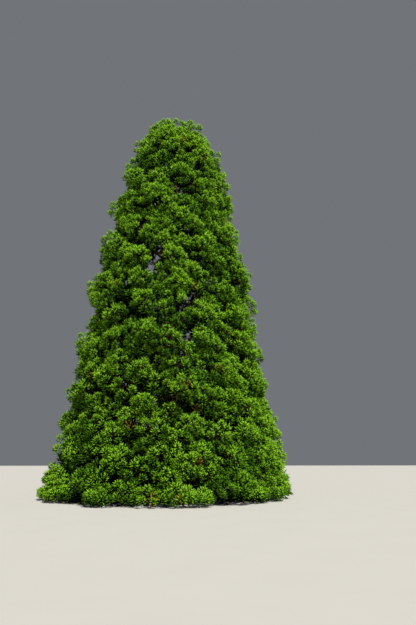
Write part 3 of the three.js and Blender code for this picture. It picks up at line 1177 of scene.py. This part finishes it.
class SEQUOIA_OT_branches(bpy.types.Operator):
    """Grows the branches of each mass and the twigs that carry the bunches"""

    bl_idname = "sequoia.branches"
    bl_label = "Branches and twigs"

    def execute(self, context):
        sizes, colours = context.scene.sequoia_sizes, context.scene.sequoia_colours
        growth = grow_crown(sizes.spacing, sizes.bunches, sizes.bunch_length)
        # The branch bark's dark brown is partly painted shade inside the crown
        furrow = [BRANCH_SHADE * channel for channel in colours.twig]
        brown = bark_material("branch bark", furrow, colours.twig, BRANCH_STRETCH)
        stems = add_tubes("stems_bark", growth.stems, growth.stem_radii, STEM_SIDES)
        finish_piece(stems, (), brown)
        branches = add_tubes("branches_bark", growth.branches, growth.branch_radii, BRANCH_SIDES)
        finish_piece(branches, (), brown)
        ends = growth.bases + growth.aims * (TWIG_INTO_BUNCH * growth.lengths)[:, None]
        lines = np.stack((growth.roots, ends), axis=1)
        radii = np.tile(TWIG_RADII, (len(lines), 1))
        twigs = add_tubes("twigs_bark", lines, radii, TWIG_SIDES)
        finish_piece(twigs, (), brown)
        return {"FINISHED"}


class SEQUOIA_OT_needles(bpy.types.Operator):
    """Dresses the twig ends with bunches of needle shoots in several tints, among them painted light and
    painted shade
    """

    bl_idname = "sequoia.needles"
    bl_label = "Needles"

    def execute(self, context):
        sizes, colours = context.scene.sequoia_sizes, context.scene.sequoia_colours
        growth = grow_crown(sizes.spacing, sizes.bunches, sizes.bunch_length)
        tree = bunch_instancer()
        collections = [bunch_collection(plume, sizes.shoot_width) for plume in PLUMES]
        young, older, coarse = collections
        materials = {
            name: needle_material(name + " needles", getattr(colours, name))
            for name in NEEDLE_COLOURS
        }
        outer = growth.kinds == "outer"
        # The bunches painted lightest and darkest
        fresh = outer & (growth.light > FRESH_PAINTED_LIT_ABOVE)
        shaded = outer & (growth.light <= SHADED_BELOW)
        # Each kind: its bunches, its tint, the twig ends it takes and the seed of its turns. The tints
        # paint light and shade: the lightest bunches get fresh tips and mid older shoots, painted light;
        # the darkest get shaded tips, and all but the lightest get deep older shoots, painted shade; the
        # inner bunches are near-black, painted shade
        kinds = {
            "tips_fresh": (young, "fresh", fresh, 0),
            "tips_pale": (young, "pale", outer & ~fresh & ~shaded, 0),
            "tips_shaded": (young, "shaded", shaded, 1),
            "shoots_mid": (older, "mid", fresh, 1),
            "shoots_deep": (older, "deep", outer & ~fresh, 2),
            "shoots_inner": (coarse, "inner", growth.kinds == "inner", 2),
        }
        for zone in sorted(set(ZONES)):
            nodes = ["foliage_" + mass.name for mass in all_masses() if mass.zone == zone]
            for kind, (collection, tint, wanted, seed) in kinds.items():
                chosen = np.flatnonzero(wanted & (growth.zones == zone))
                name = f"{kind}_{zone}"
                piece = add_foliage(name, tree, collection, growth, chosen, seed, materials[tint])
                finish_piece(piece, nodes)
        dead = np.flatnonzero(growth.kinds == "dead")
        piece = add_foliage("sprays_rust", tree, older, growth, dead, RUST_SEED, materials["rust"])
        finish_piece(piece)
        for collection in collections:
            for shape in list(collection.objects):
                bpy.data.meshes.remove(shape.data)
            bpy.data.collections.remove(collection)
        return {"FINISHED"}


class SEQUOIA_OT_stage(bpy.types.Operator):
    """Makes the pale floor, the soft light and the camera"""

    bl_idname = "sequoia.stage"
    bl_label = "Floor, light and camera"

    def execute(self, context):
        scene = context.scene
        half = FLOOR_HALF
        corners = [(-half, -half, 0), (half, -half, 0), (half, half, 0), (-half, half, 0)]
        floor = add_mesh("floor", np.array(corners, float), [(0, 1, 2, 3)])
        floor.data.materials.append(floor_material(scene.sequoia_colours.floor))

        sun = bpy.data.lights.new("sun", "SUN")
        sun.energy = SUN_STRENGTH
        sun.color = SUN_COLOUR
        sun.angle = SUN_SIZE
        place = bpy.data.objects.new("sun", sun)
        level = math.cos(SUN_ELEVATION)
        right, back = level * math.sin(SUN_AZIMUTH), -level * math.cos(SUN_AZIMUTH)
        towards = Vector((right, back, math.sin(SUN_ELEVATION)))
        place.rotation_euler = (-towards).to_track_quat("-Z", "Y").to_euler()
        scene.collection.objects.link(place)

        world = bpy.data.worlds.new("soft sky")
        world.use_nodes = True
        world.node_tree.nodes.clear()
        book = NodeBook(world.node_tree)
        sky = book.add("ShaderNodeBackground", None, {"Color": SKY_COLOUR, "Strength": SKY_STRENGTH})
        book.add("ShaderNodeOutputWorld", None, {"Surface": sky.outputs[0]})
        scene.world = world
        scene.view_settings.view_transform = "Standard"

        lens = bpy.data.cameras.new("camera")
        lens.lens = CAMERA_LENS
        lens.sensor_width = SENSOR_WIDTH
        lens.clip_end = FARTHEST_SEEN
        camera = bpy.data.objects.new("camera", lens)
        camera.location = EYE
        camera.rotation_euler = (math.pi / 2 + CAMERA_TILT, 0, CAMERA_YAW)
        scene.collection.objects.link(camera)
        scene.camera = camera
        return {"FINISHED"}


class SEQUOIA_PT_panel(bpy.types.Panel):
    """Lists the tree's sizes, colours and operators"""

    bl_idname = "SEQUOIA_PT_panel"
    bl_label = "Giant sequoia"
    bl_space_type = "VIEW_3D"
    bl_region_type = "UI"
    bl_category = "Sequoia"

    def draw(self, context):
        for group in (context.scene.sequoia_sizes, context.scene.sequoia_colours):
            for name in group.__annotations__:
                self.layout.prop(group, name)
        for operator in OPERATORS:
            self.layout.operator(operator.bl_idname)


OPERATORS = (
    SEQUOIA_OT_trunk,
    SEQUOIA_OT_boughs,
    SEQUOIA_OT_branches,
    SEQUOIA_OT_needles,
    SEQUOIA_OT_stage,
)
CLASSES = (SequoiaSizes, SequoiaColours, *OPERATORS, SEQUOIA_PT_panel)


def register():
    for kind in CLASSES:
        bpy.utils.register_class(kind)
    bpy.types.Scene.sequoia_sizes = bpy.props.PointerProperty(type=SequoiaSizes)
    bpy.types.Scene.sequoia_colours = bpy.props.PointerProperty(type=SequoiaColours)


def unregister():
    del bpy.types.Scene.sequoia_colours
    del bpy.types.Scene.sequoia_sizes
    for kind in reversed(CLASSES):
        bpy.utils.unregister_class(kind)


def main():
    register()
    bpy.ops.sequoia.stage()
    bpy.ops.sequoia.trunk()
    bpy.ops.sequoia.boughs()
    bpy.ops.sequoia.branches()
    bpy.ops.sequoia.needles()


if __name__ == "__main__":
    main()
